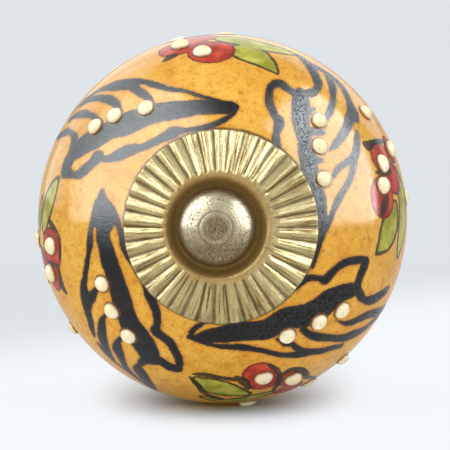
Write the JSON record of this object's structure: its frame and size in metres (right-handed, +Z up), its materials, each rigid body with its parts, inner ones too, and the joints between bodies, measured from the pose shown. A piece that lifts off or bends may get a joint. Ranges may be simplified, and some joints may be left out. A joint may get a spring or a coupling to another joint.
{
  "type": "cabinet knob",
  "caption": "Round glazed ceramic cabinet knob with painted leaves and raised dots, clamped by a bolt between a fluted brass rosette and a hollow rear base, with a threaded stud for the door.",
  "frame": {"origin": "centre of the rear base's foot, on the bolt's axis, in the plane that meets the door", "axes": "+Y along the bolt into the door, -Y out to the front of the knob, +Z up"},
  "size_m": [0.0412, 0.0715, 0.0413],
  "materials": {
    "painted_ceramic": "amber glaze with black, red and green painting and cream dots",
    "rosette_brass": "pressed, pale gold",
    "bolt_plating": "antique brass plating",
    "base_brass": "spun, antique",
    "zinc_steel": "zinc plated"
  },
  "bodies": {
    "root": {"ceramic_ball": "painted_ceramic", "front_rosette": "rosette_brass", "bolt": "bolt_plating", "rear_base": "base_brass", "flat_washer": "zinc_steel", "hex_nut": "zinc_steel"}
  },
  "joints": []
}
